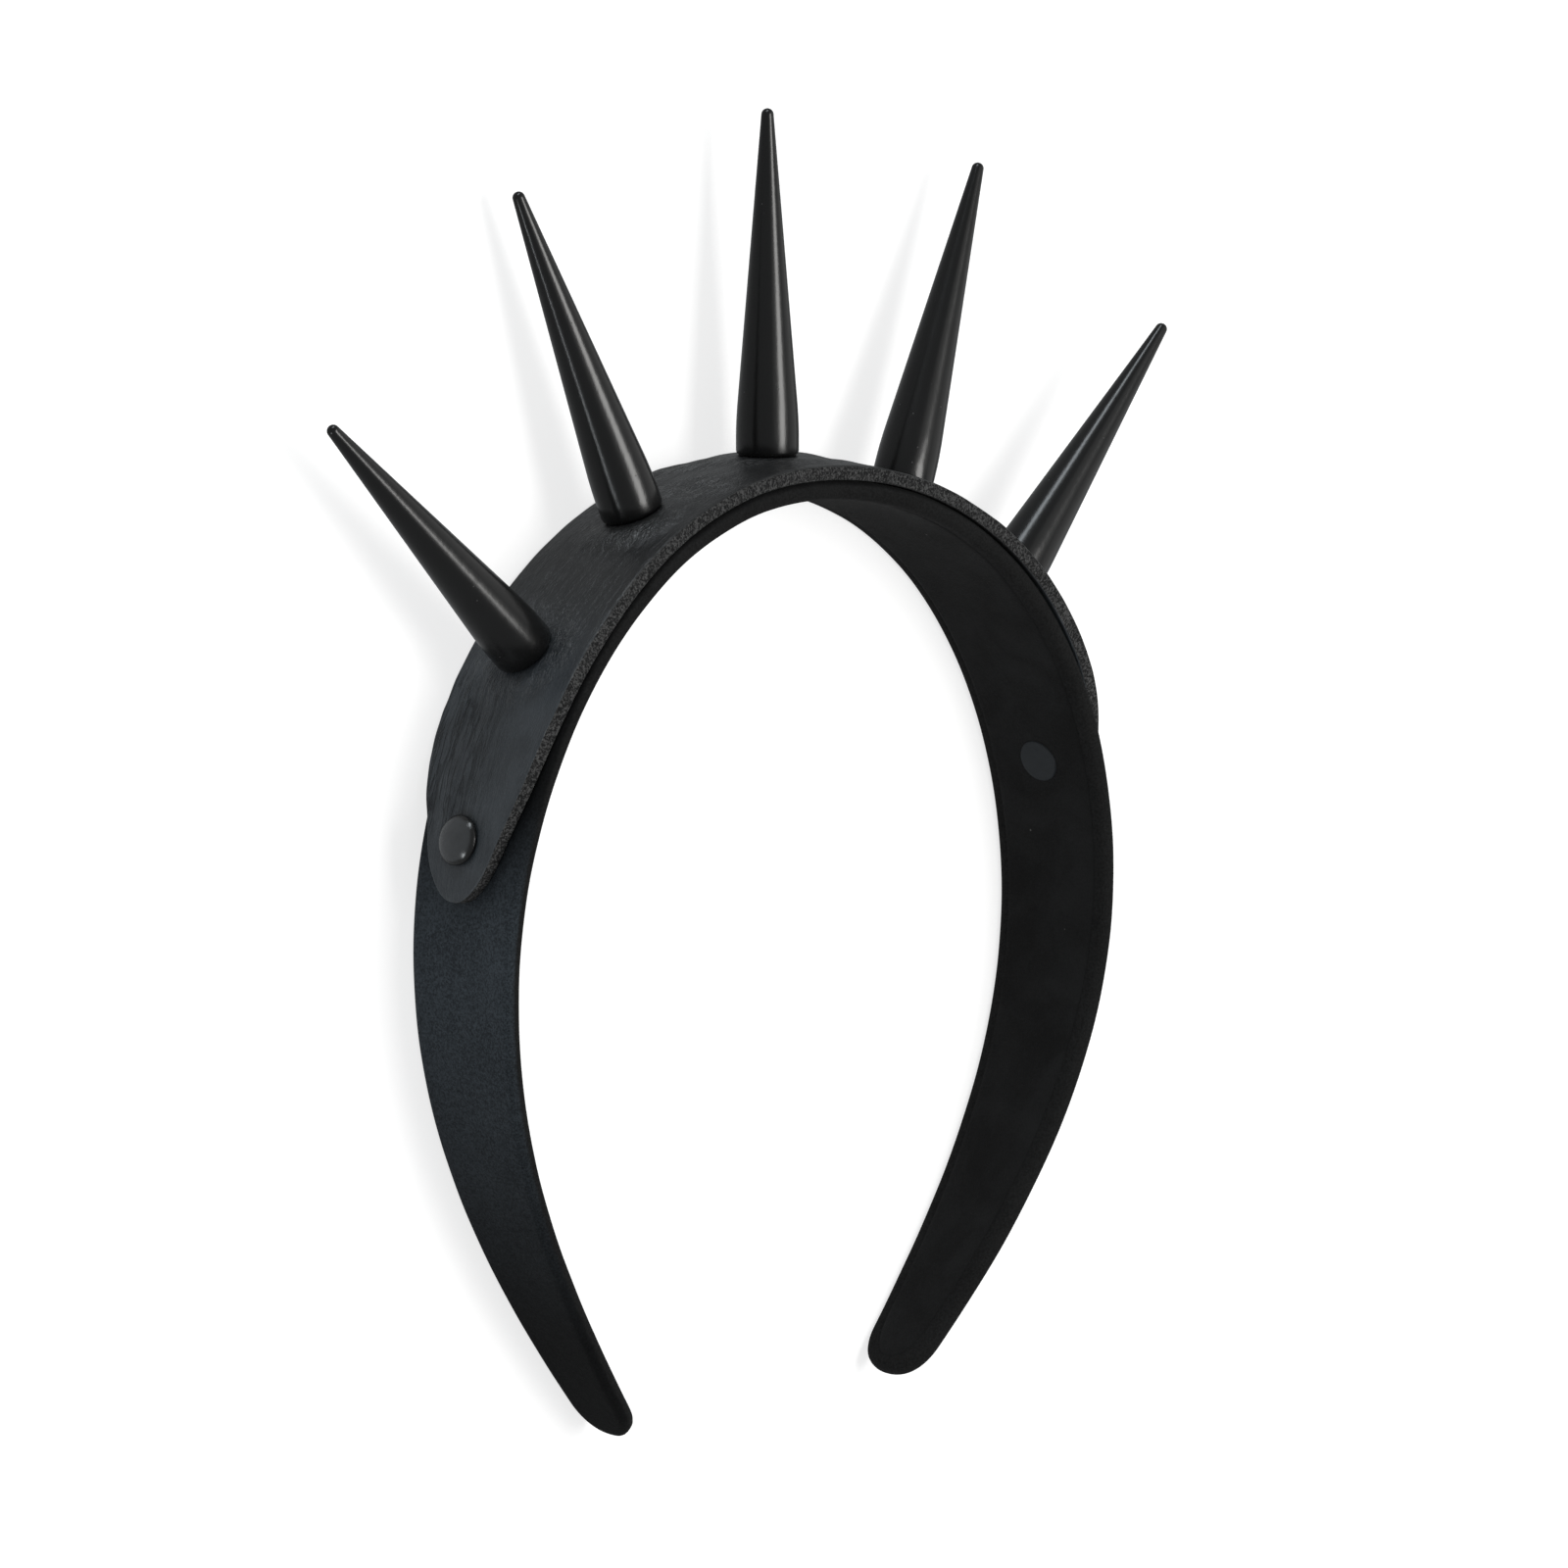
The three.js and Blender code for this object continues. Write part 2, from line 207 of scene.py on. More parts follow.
def place(arc, height, out):
    """The point at an arc, a height and a distance out, with the wall's flare and crown, in millimetres."""
    point, _, outward = spine(arc)
    middle = band_half_width(arc)
    offset = height - middle
    bulge = BAND_CROWN * crowns(abs(arc) / BAND_HALF_LENGTH) * (offset / middle) ** 2
    spot = point + outward * (out + offset * flare_slope(arc) - bulge)
    spot.z = height
    return spot + TOP


def smoothstep(value, low, high):
    share = min(max((value - low) / (high - low), 0), 1)
    return share * share * (3 - 2 * share)


class Seat:
    """A spike's flat seat on the strap."""

    def __init__(self, name, share, lean, nod):
        self.name = name
        self.arc = share * STRAP_HALF_LENGTH
        self.height = band_half_width(self.arc)
        _, along, outward = spine(self.arc)
        back = Vector((0, 0, -1))
        axis = outward + along * math.tan(math.radians(lean)) + back * math.tan(math.radians(nod))
        self.axis = axis.normalized()
        self.middle = place(self.arc, self.height, strap_outer(self.arc) + SEAT_LIFT)


SEATS = [Seat(*row) for row in SPIKE_ROWS]


def seat_rise(arc, height):
    rise = 0
    for seat in SEATS:
        away = math.hypot(arc - seat.arc, height - seat.height)
        pull = 1 - smoothstep(away, SEAT_FLAT, SEAT_FLAT + SEAT_BLEND)
        if pull > 0:
            to_seat = seat.middle - place(arc, height, strap_outer(arc))
            rise += pull * to_seat.dot(seat.axis) / spine(arc)[2].dot(seat.axis)
    return rise


# The finishes.
# the sockets of a Mix node that mixes colours, given by number because each kind of mix has the same names
MIX_FACTOR, MIX_FIRST, MIX_SECOND, MIX_RESULT = 0, 6, 7, 2


class Wire:
    """An output of a shader node. Sums on wires add Math nodes."""

    def __init__(self, finish, socket):
        self.finish = finish
        self.socket = socket

    def maths(self, operation, *values):
        return self.finish.node("Math", {"operation": operation}, dict(enumerate(values)))

    def __add__(self, other):
        return self.maths("ADD", self, other)

    def __radd__(self, other):
        return self.maths("ADD", other, self)

    def __sub__(self, other):
        return self.maths("SUBTRACT", self, other)

    def __rsub__(self, other):
        return self.maths("SUBTRACT", other, self)

    def __mul__(self, other):
        return self.maths("MULTIPLY", self, other)

    def __rmul__(self, other):
        return self.maths("MULTIPLY", other, self)

    def __abs__(self):
        return self.maths("ABSOLUTE", self)

    def at_least(self, other):
        return self.maths("MAXIMUM", self, other)

    def step(self, low, high):
        """0 below low, 1 above high, and smooth between them."""
        sockets = {"Value": self, "From Min": low, "From Max": high}
        return self.finish.node("MapRange", {"interpolation_type": "SMOOTHSTEP"}, sockets)


class Finish:
    """A material with one Principled shader, whose uniform values are set on its own sockets."""

    def __init__(self, name, **uniform):
        self.material = bpy.data.materials.new(name)
        self.material.use_nodes = True
        self.tree = self.material.node_tree
        self.shader = self.tree.nodes["Principled BSDF"]
        for key, value in uniform.items():
            self.shader.inputs[key.replace("_", " ")].default_value = value

    def node(self, kind, settings=None, sockets=None, output=0):
        """Adds a node of a kind, with its settings and its sockets' values or wires."""
        node = self.tree.nodes.new("ShaderNode" + kind)
        for key, value in (settings or {}).items():
            setattr(node, key, value)
        for key, value in (sockets or {}).items():
            self.feed(node.inputs[key], value)
        return Wire(self, node.outputs[output])

    def feed(self, socket, value):
        if isinstance(value, Wire):
            self.tree.links.new(value.socket, socket)
        else:
            socket.default_value = value

    def mix(self, factor, first, second):
        """A mix of two colours."""
        sockets = {MIX_FACTOR: factor, MIX_FIRST: first, MIX_SECOND: second}
        return self.node("Mix", {"data_type": "RGBA"}, sockets, MIX_RESULT)

    def stretch(self, vector, factors):
        return self.node("VectorMath", {"operation": "MULTIPLY"}, {0: vector, 1: factors})

    def coordinate(self, vector, axis):
        return self.node("SeparateXYZ", None, {"Vector": vector}, axis)

    def layout(self):
        """Millimetres in a bent piece's flat layout."""
        return self.node("Attribute", {"attribute_name": "flat"}, output="Vector")

    def amount(self, name):
        """A number that the piece's own mesh keeps."""
        return self.node("Attribute", {"attribute_name": name}, output="Fac")

    def millimetres(self):
        """Millimetres in the piece's own coordinates."""
        return self.stretch(self.node("TexCoord", output="Object"), (1 / MM,) * 3)

    def noise(self, vector, scale, detail=2.0, roughness=0.5, distortion=0.0):
        sockets = {"Vector": vector, "Scale": scale, "Detail": detail, "Roughness": roughness}
        return self.node("TexNoise", None, {**sockets, "Distortion": distortion})

    def cells(self, vector, scale, feature="F1", output="Distance"):
        sockets = {"Vector": vector, "Scale": scale}
        return self.node("TexVoronoi", {"feature": feature}, sockets, output)

    def bump(self, height, depth):
        """Relief of a depth in millimetres."""
        sockets = {"Height": height, "Distance": depth * MM, "Strength": 1.0}
        self.feed(self.shader.inputs["Normal"], self.node("Bump", None, sockets))

    def surface(self, color, roughness):
        self.feed(self.shader.inputs["Base Color"], color)
        self.feed(self.shader.inputs["Roughness"], roughness)


def grey(value, warm=0.0):
    """A grey, which a warmth below 0 turns to blue."""
    return (value * (1 + warm), value, value * (1 - warm), 1)


# arcs between which painted light on the cloth's outside comes in and fades again, painted shade comes onto
# its rim, and painted bluish light makes the leather paler
LIT_BEGINS = (72, 94)
LIT_FADES = (98, 165)
RIM_SHADE = (-80, -45)
LEATHER_LIT = (40, 62)


def band_fabric():
    """Closely woven dark cloth. Painted light lies on the outside of its legs and fades towards their ends,
    and painted shade lies on its inner side and most of its rim.
    """
    cloth = Finish("band_fabric", Specular_IOR_Level=0.04, Sheen_Weight=0.02, Sheen_Roughness=0.45)
    flat = cloth.layout()
    arc = cloth.coordinate(flat, "X")
    out = cloth.coordinate(flat, "Z")
    wobble = cloth.noise(flat, 0.35, detail=3.0)
    ribs = cloth.noise(cloth.stretch(flat, (1.6, 0.5, 0.5)), 1.0, detail=3.0, roughness=0.6)
    threads = cloth.noise(flat, 3.2, detail=3.0, roughness=0.8)
    worn = cloth.noise(flat, 0.07, detail=4.0, roughness=0.6)
    tone = (0.15 * worn + 0.1 * ribs + 0.75 * threads).step(0.36, 0.64)
    # painted light: a lighter, bluish copy of the cloth where the legs' outside is lit, and a darker copy
    # where it is not
    painted_lit = cloth.mix(tone, grey(0.0155, -0.17), grey(0.0455, -0.17))
    shaded_outside = cloth.mix(tone, grey(0.0032, -0.04), grey(0.0065, -0.05))
    # where the painted light lies: along the legs, fading towards their ends
    lit_zone = abs(arc).step(*LIT_BEGINS) * (1 - abs(arc).step(*LIT_FADES))
    # painted shade: a darker copy of the cloth for its inner side and rim
    inside = cloth.mix(tone, grey(0.0070), grey(0.0150, -0.01))
    outside = cloth.mix(lit_zone, shaded_outside, painted_lit)
    # the painted shade takes more of the rim everywhere but on the left leg
    facing_out = (out + 0.6 * wobble - 0.8 * arc.step(*RIM_SHADE)).step(0.1, 0.9)
    cloth.surface(cloth.mix(facing_out, inside, outside), 0.75 + 0.2 * threads)
    cloth.bump(0.3 * ribs + 0.8 * threads + 1.2 * wobble, 0.11)
    return cloth.material


def lining_velvet():
    """Very dark pile with a few specks of lint."""
    pile = Finish("lining_velvet", Specular_IOR_Level=0.06, Sheen_Weight=0.035, Sheen_Roughness=0.4)
    flat = pile.layout()
    nap = pile.noise(flat, 0.09, detail=3.0, roughness=0.6, distortion=0.6)
    tufts = pile.noise(flat, 4.0, roughness=0.7)
    lint = 1 - pile.cells(flat, 0.33).step(0.03, 0.07)
    draw = pile.cells(flat, 0.33, output="Color")
    chosen = pile.node("SeparateColor", None, {"Color": draw}, "Red").step(0.8, 0.82)
    dark = pile.mix((0.6 * nap + 0.4 * tufts).step(0.35, 0.65), grey(0.0082), grey(0.0135, -0.02))
    pile.surface(pile.mix(lint * chosen * 0.8, dark, grey(0.09)), 0.92 + 0.08 * tufts)
    pile.bump(tufts + 0.8 * nap, 0.12)
    return pile.material


def strap_leather():
    """Smooth dark leather, with grain that shows where it is strained and long creases on its sides.
    Painted bluish light makes its sides paler, painted shade darkens its creases and wrinkles, and painted
    highlights lie on the crests of the strained wrinkles.
    """
    hide = Finish("strap_leather", Specular_IOR_Level=0.48)
    flat = hide.layout()
    strain = hide.amount("strain")
    fold = hide.amount("fold")
    drift = hide.noise(flat, 0.25)
    # Long flowing creases: the lines where a stretched noise passes its middle value.
    flow = hide.noise(hide.stretch(flat, (0.09, 0.75, 0.3)), 1.0, detail=3.0, roughness=0.6, distortion=0.5)
    creases = 1 - abs(flow - 0.5).step(0.0, 0.045)
    ripples = hide.noise(hide.stretch(flat, (0.16, 1.25, 0.4)), 1.0, distortion=0.6)
    short = hide.noise(hide.stretch(flat, (0.45, 1.2, 0.6)), 1.0, distortion=0.8)
    wrinkles = 1 - abs(short - 0.5).step(0.0, 0.09)
    grain = hide.cells(hide.stretch(flat, (1.3, 2.1, 1.6)), 1.0, "DISTANCE_TO_EDGE").step(0.0, 0.22)
    pores = hide.noise(flat, 3.2, detail=3.0, roughness=0.6)
    height = (
        0.14 * grain * (0.1 + strain)
        - 0.3 * wrinkles * strain
        + 0.85 * short * strain
        + 0.85 * ripples * fold
        - 0.4 * creases * fold
        + 0.06 * pores
        + 0.4 * drift
    )
    tone = (0.6 * drift + 0.4 * pores).step(0.3, 0.7)
    # painted light: the strap's sides are paler and bluish
    low = abs(hide.coordinate(flat, "X")).step(*LEATHER_LIT)
    upper = hide.mix(tone, grey(0.0070, -0.03), grey(0.0125, -0.03))
    lower = hide.mix(tone, grey(0.0245, -0.16), grey(0.0385, -0.16))
    # painted shade in the creases and wrinkles
    crease_shade = (creases * fold).at_least(wrinkles * strain * 0.6) * 0.4
    # painted highlights on the crests of the strained wrinkles
    ridge_highlights = strain * short.step(0.47, 0.60) * grain
    color = hide.mix(crease_shade, hide.mix(low, upper, lower), grey(0.005, -0.1))
    hide.surface(hide.mix(ridge_highlights, color, grey(0.085, -0.02)), 0.30 + 0.14 * pores)
    hide.bump(height, 0.55)
    return hide.material


def cut_edge():
    """The strap's raw edge, of finely speckled, matted fibre."""
    fibre = Finish("cut_edge", Specular_IOR_Level=0.15)
    flat = fibre.layout()
    specks = fibre.noise(flat, 3.6, roughness=0.8)
    tufts = fibre.noise(flat, 1.6, roughness=0.6)
    color = fibre.mix((0.8 * specks + 0.2 * tufts).step(0.45, 0.60), grey(0.009, -0.02), grey(0.068))
    fibre.surface(color, 0.9 + 0.1 * tufts)
    fibre.bump(specks + 0.7 * tufts, 0.14)
    return fibre.material


def spike_gloss():
    """Glossy black moulded plastic with faint rub marks."""
    gloss = Finish("spike_gloss", Specular_IOR_Level=0.42)
    spot = gloss.millimetres()
    cloud = gloss.noise(spot, 0.12, detail=3.0, roughness=0.6)
    rubs = gloss.noise(gloss.stretch(spot, (1.2, 0.25, 1.2)), 1.0, detail=4.0, roughness=0.6)
    dust = 1 - gloss.cells(spot, 0.42).step(0.03, 0.06)
    color = gloss.mix(dust * 0.6, gloss.mix(cloud, grey(0.0030), grey(0.0048)), grey(0.06))
    gloss.surface(color, 0.19 + 0.08 * rubs + 0.3 * dust)
    gloss.bump(cloud + 0.3 * rubs, 0.05)
    return gloss.material


def rivet_enamel():
    """Satin dark enamel, with painted shade that makes the cap's rim near black."""
    enamel = Finish("rivet_enamel", Specular_IOR_Level=0.5)
    spot = enamel.millimetres()
    peel = enamel.noise(spot, 1.1, detail=3.0, roughness=0.6)
    worn = enamel.noise(spot, 0.5, detail=4.0, roughness=0.7)
    # painted shade: the cap's rim is painted near black
    ring = enamel.amount("ring").step(0.80, 0.93)
    face = enamel.mix(worn, grey(0.027, -0.06), grey(0.046, -0.06))
    enamel.surface(enamel.mix(ring, face, grey(0.006)), 0.18 + 0.10 * worn)
    enamel.bump(peel, 0.03)
    return enamel.material


def disc_enamel():
    """Flat slate-grey enamel on the rivets' inner discs."""
    enamel = Finish("disc_enamel", Specular_IOR_Level=0.2)
    spot = enamel.millimetres()
    worn = enamel.noise(spot, 0.8, detail=4.0, roughness=0.7)
    grit = enamel.noise(spot, 5.0, roughness=0.6)
    enamel.surface(enamel.mix(worn, grey(0.017, -0.13), grey(0.026, -0.13)), 0.5 + 0.15 * grit)
    enamel.bump(grit + worn, 0.03)
    return enamel.material


def screw_steel():
    """Dark plated steel."""
    steel = Finish("screw_steel", Metallic=0.9)
    spot = steel.millimetres()
    worn = steel.noise(spot, 0.9, detail=4.0, roughness=0.7)
    steel.surface(steel.mix(worn, grey(0.02), grey(0.05)), 0.35 + 0.2 * worn)
    steel.bump(worn, 0.02)
    return steel.material


def floor_paper():
    """Pale matt paper on a light table."""
    paper = Finish(
        "floor_paper", Specular_IOR_Level=0.1, Emission_Color=(1, 1, 1, 1), Emission_Strength=0.74
    )
    spot = paper.millimetres()
    fibres = paper.noise(spot, 0.4, detail=4.0, roughness=0.6)
    cloud = paper.noise(spot, 0.004)
    paper.surface(paper.mix(cloud, grey(0.40), grey(0.42)), 0.85 + 0.1 * fibres)
    paper.bump(fibres, 0.02)
    return paper.material


FABRIC = band_fabric()
VELVET = lining_velvet()
LEATHER = strap_leather()
CUT_EDGE = cut_edge()
GLOSS = spike_gloss()
ENAMEL = rivet_enamel()
DISC = disc_enamel()
STEEL = screw_steel()
PAPER = floor_paper()


# The pieces.
# the turn from which an edge is sharp, and the distance within which points are merged
SHARP = math.radians(42)
MERGE_WITHIN = 0.002


def show(bm, name, materials, stands_for):
    """Turns a finished mesh in millimetres into a piece that stands for CAD nodes."""
    bmesh.ops.recalc_face_normals(bm, faces=bm.faces)
    bmesh.ops.scale(bm, vec=(MM, MM, MM), verts=bm.verts)
    for face in bm.faces:
        face.smooth = True
    for edge in bm.edges:
        edge.smooth = len(edge.link_faces) == 2 and edge.calc_face_angle() < SHARP
    mesh = bpy.data.meshes.new(name)
    bm.to_mesh(mesh)
    bm.free()
    for material in materials:
        mesh.materials.append(material)
    piece = bpy.data.objects.new(name, mesh)
    bpy.context.scene.collection.objects.link(piece)
    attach(piece, "root")
    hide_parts(*stands_for)
    return piece


# An end is slightly squarer than an ellipse, and takes this share of the steps along a side.
END_POWER = 2.4
END_STEPS_SHARE = 0.09


def outline(reach, end_round, low, high, around, share, inset):
    """A point of a long outline with round ends. Around runs from 0 to 1 along the front side and back
    along the other. Share draws the outline in to its middle line, and inset draws it in evenly."""
    side = 1 if around < 0.5 else -1
    run = 4 * around - 1 if around < 0.5 else 3 - 4 * around
    straight = reach - end_round
    end = max(abs(run) - (1 - END_STEPS_SHARE), 0) / END_STEPS_SHARE
    sweep = math.sin(end * math.pi / 2)
    if end:
        arc = math.copysign(straight + (end_round - inset) * share * sweep, run)
    else:
        arc = straight * run / (1 - END_STEPS_SHARE)
    middle, half = (low(arc) + high(arc)) / 2, (high(arc) - low(arc)) / 2
    return arc, middle + side * (half - inset) * share * (1 - sweep**END_POWER) ** (1 / END_POWER)


def shares(first, last, steps):
    return [first + (last - first) * i / steps for i in range(steps + 1)]


def rim(inner, outer, radius, steps):
    """The stations of a plate's rounded rim, from its inner face to its outer one."""
    angles = [math.radians(degrees) for degrees in shares(0, 90, steps)]
    corner = [(radius * (1 - math.cos(a)), radius * math.sin(a)) for a in angles]
    below = [(1, inset, inner + radius - out) for inset, out in reversed(corner)]
    above = [(1, inset, outer - radius + out) for inset, out in corner]
    return below + above


def bent_piece(reach, end_round, low, high, stations, count, shift, extras=()):
    """A closed plate, bent round the band. Its section's stations are (share, inset, out), and count is
    the number of them along each side. Low and high give its two edges at an arc, shift gives how far out
    a point moves, and extras are amounts kept for the finish."""
    bm = bmesh.new()
    bmesh.ops.create_grid(bm, x_segments=len(stations) - 1, y_segments=2 * count, size=1)
    flat = bm.verts.layers.float_vector.new("flat")
    layers = [(bm.verts.layers.float.new(name), amount) for name, amount in extras]
    for vert in bm.verts:
        share, inset, out = stations[round((vert.co.x + 1) / 2 * (len(stations) - 1))]
        turn = round((vert.co.y + 1) / 2 * 2 * count) % (2 * count)
        arc, height = outline(reach, end_round, low, high, (turn + 0.5) / (2 * count), share, inset)
        vert[flat] = (arc, height, out)
        for layer, amount in layers:
            vert[layer] = amount(arc, height)
        vert.co = place(arc, height, out + shift(arc, height, out))
    bmesh.ops.remove_doubles(bm, verts=bm.verts, dist=MERGE_WITHIN)
    return bm


def waves(arc, height, length, breadth, layer):
    """Smooth noise from about -1 to 1, whose waves have a length along the band and a breadth across it."""
    return noise.noise(Vector((arc / length, height / breadth, layer)))


CLOTH_LUMP = 0.07


def lumps(arc, height, out):
    """The soft unevenness of cloth over the stiff core."""
    return CLOTH_LUMP * waves(arc, height, 9, 7, smoothstep(out, -1, 1))


def make_band():
    """The fabric-covered band, with the shallow pocket that holds the lining."""
    pocket_floor = LINING_INNER + LINING_WALL + CLEARANCE
    border = LINING_BORDER - POCKET_GAP
    stations = [
        *[(t, border + POCKET_FOOT_INSET, pocket_floor) for t in shares(0, 1, steps=5)],
        (1, border, pocket_floor - POCKET_FOOT_RISE),
        (1, border, BAND_INNER + POCKET_EDGE_DROP),
        (1, border - POCKET_EDGE_CORNER, BAND_INNER + POCKET_EDGE_CORNER),
        (1, border - POCKET_EDGE_INSET, BAND_INNER),
        *rim(BAND_INNER, BAND_OUTER, BAND_RIM_ROUND, steps=4),
        *[(t, BAND_RIM_ROUND, BAND_OUTER) for t in shares(1, 0, steps=8)[1:]],
    ]

    def top(arc):
        return 2 * band_half_width(arc)

    bm = bent_piece(
        BAND_HALF_LENGTH, BAND_END_ROUND, lambda arc: 0, top, stations, count=300, shift=lumps
    )
    show(bm, "band_cover", [FABRIC], ["hair_band"])


# shares of the lip's reach and thickness down its slope
LIP_SLOPE = (0.3, 0.7, 1)
# steps of the sum that gives the lining's flat area
AREA_STEPS = 200


def make_lining():
    """The lining strip. A thin lip of pile covers the pocket's edge."""
    inner, outer = LINING_INNER, LINING_INNER + LINING_WALL
    stations = [
        *[(t, LINING_FACE_INSET, inner) for t in shares(0, 1, steps=6)],
        *[(1, -t * LINING_LIP, inner + t * LINING_LIP_WALL) for t in LIP_SLOPE],
        (1, 0, inner + LINING_LIP_WALL),
        (1, 0, outer),
        *[(t, 0, outer) for t in shares(1, 0, steps=3)[1:]],
    ]
    bm = bent_piece(
        BAND_HALF_LENGTH - LINING_BORDER,
        BAND_END_ROUND,
        lambda arc: LINING_BORDER,
        lambda arc: 2 * band_half_width(arc) - LINING_BORDER,
        stations,
        count=260,
        shift=lumps,
    )
    lining = show(bm, "velvet_lining", [VELVET], ["band_lining"])
    border = LINING_BORDER - LINING_LIP
    reach = BAND_HALF_LENGTH - border
    widths = [2 * (band_half_width(reach * i / AREA_STEPS) - border) for i in range(AREA_STEPS)]
    max(widths) * MM
    2 * sum(widths) * reach / AREA_STEPS * MM * MM


# arc, height and reach of each patch of leather that is puckered between a spike and the strap's edge
PUCKERS = [(-18.5, 14, 8), (-10, 5, 7), (9, 16, 5), (36, 8, 6)]
PUCKER_STRAIN = 0.9
PUCKER_CORE = 0.3
# the ring of strained leather round each spike
RING_STRAIN = 0.5
RING_RADIUS = 6.6
RING_BREADTH = 2.6
LEAST_STRAIN = 0.06


def strain_at(arc, height):
    """How strongly the leather is pulled up: most in the puckers, and less in a ring round each spike."""
    most = LEAST_STRAIN
    for middle, level, reach in PUCKERS:
        away = math.hypot(arc - middle, height - level)
        most = max(most, PUCKER_STRAIN * (1 - smoothstep(away, PUCKER_CORE * reach, reach)))
    patch = 0.75 + 0.5 * waves(arc, height, 5, 5, 7)
    for seat in SEATS:
        away = math.hypot(arc - seat.arc, height - seat.height)
        ring = math.exp(-(((away - RING_RADIUS) / RING_BREADTH) ** 2))
        most = max(most, RING_STRAIN * ring * patch)
    return most


# The long creases below the outer spikes: the arcs where they begin and end, and the shares of the
# band's width over which they fade towards the front.
CREASES_BEGIN = (56, 62)
CREASES_END = (78, 84)
CREASES_FADE = (0.3, 0.8)
# the creases at the back edge between the middle spike and its neighbours
BACK_CREASES_ARC = 14
BACK_CREASES_REACH = (7, 11)
BACK_CREASES_HEIGHT = (3, 10)
BACK_CREASES_SHARE = 0.8
LEAST_FOLD = 0.12


def fold_at(arc, height):
    """How deep the long creases are, from 0 to 1."""
    along = smoothstep(abs(arc), *CREASES_BEGIN) * (1 - smoothstep(abs(arc), *CREASES_END))
    across = 1 - smoothstep(height / (2 * band_half_width(arc)), *CREASES_FADE)
    beside = 1 - smoothstep(abs(abs(arc) - BACK_CREASES_ARC), *BACK_CREASES_REACH)
    behind = BACK_CREASES_SHARE * (1 - smoothstep(height, *BACK_CREASES_HEIGHT)) * beside
    return max(LEAST_FOLD, along * across, behind)


# depths of the leather's unevenness: everywhere, in the creases and where it is strained
LEATHER_RELIEF = 0.04
CREASE_RELIEF = 0.28
STRAIN_RELIEF = 0.14


def make_strap():
    """The leather strap. Its underside lies close over the band, and its outer face rises and sinks."""
    stations = [
        *[(t, STRAP_RIM_ROUND, 0) for t in shares(0, 1, steps=3)[:-1]],
        *rim(0, STRAP_WALL, STRAP_RIM_ROUND, steps=3),
        *[(t, STRAP_RIM_ROUND, STRAP_WALL) for t in shares(1, 0, steps=24)[1:]],
    ]

    def low(arc):
        return max(band_half_width(arc) - strap_half_width(arc), STRAP_FLOOR_GAP)

    def high(arc):
        return band_half_width(arc) + strap_half_width(arc)

    def relief(arc, height, out):
        if out < STRAP_WALL / 2:
            return BAND_OUTER + STRAP_UNDERSIDE_GAP
        soft = waves(arc, height, 7, 2.6, 1)
        fine = waves(arc, height, 3, 1.3, 5)
        depth = LEATHER_RELIEF + CREASE_RELIEF * fold_at(arc, height)
        depth += STRAIN_RELIEF * strain_at(arc, height)
        return strap_inner(arc) + seat_rise(arc, height) + depth * (soft + 0.4 * fine)

    bm = bent_piece(
        STRAP_HALF_LENGTH, STRAP_END_ROUND, low, high, stations,
        count=360, shift=relief, extras=[("strain", strain_at), ("fold", fold_at)],
    )
    flat = bm.verts.layers.float_vector["flat"]
    for face in bm.faces:
        outs = [vert[flat].z for vert in face.verts]
        on_a_face = min(outs) > STRAP_WALL - STRAP_FACE_MARGIN or max(outs) < STRAP_FACE_MARGIN
        face.material_index = 0 if on_a_face else 1
    show(bm, "leather_strap", [LEATHER, CUT_EDGE], ["spike_strap"])


def spun(profile, sides):
    """A closed round piece from a profile of (radius, height) whose two ends lie on the axis. The ring
    amount is each point's share of the full radius."""
    bm = bmesh.new()
    ring = bm.verts.layers.float.new("ring")
    widest = max(radius for radius, _ in profile)
    line = [bm.verts.new((radius, 0, height)) for radius, height in profile]
    edges = [bm.edges.new(pair) for pair in zip(line, line[1:])]
    bmesh.ops.spin(
        bm, geom=line + edges, cent=(0, 0, 0), axis=(0, 0, 1), angle=math.tau, steps=sides, use_merge=True
    )
    bmesh.ops.remove_doubles(bm, verts=bm.verts, dist=MERGE_WITHIN)
    for vert in bm.verts:
        vert[ring] = math.hypot(vert.co.x, vert.co.y) / widest
    return bm


def stand(bm, point, axis):
    """Stands a round piece's axis at a point."""
    turn = Vector((0, 0, 1)).rotation_difference(axis).to_matrix().to_4x4()
    bmesh.ops.transform(bm, matrix=Matrix.Translation(point) @ turn, verts=bm.verts)
    return bm


def edge_points(radius, height, edge):
    """The points of a round piece's lower edge, from rows of (inset, rise)."""
    return [(radius - inset, height + rise) for inset, rise in edge]


SPIKE_SIDES = 64
SPIKE_FOOT_EDGE = [(SPIKE_FOOT_CHAMFER, 0), (0.12, 0.7 * SPIKE_FOOT_CHAMFER), (0, SPIKE_FOOT_CHAMFER + 0.2)]
# where the straight foot runs softly into the cone: shares of the cone's slope, and of the rounding
SPIKE_NECK = [(0, -1), (0.08, -0.6), (0.3, 0), (0.7, 0.6)]
SPIKE_NECK_ROUND = 2.2


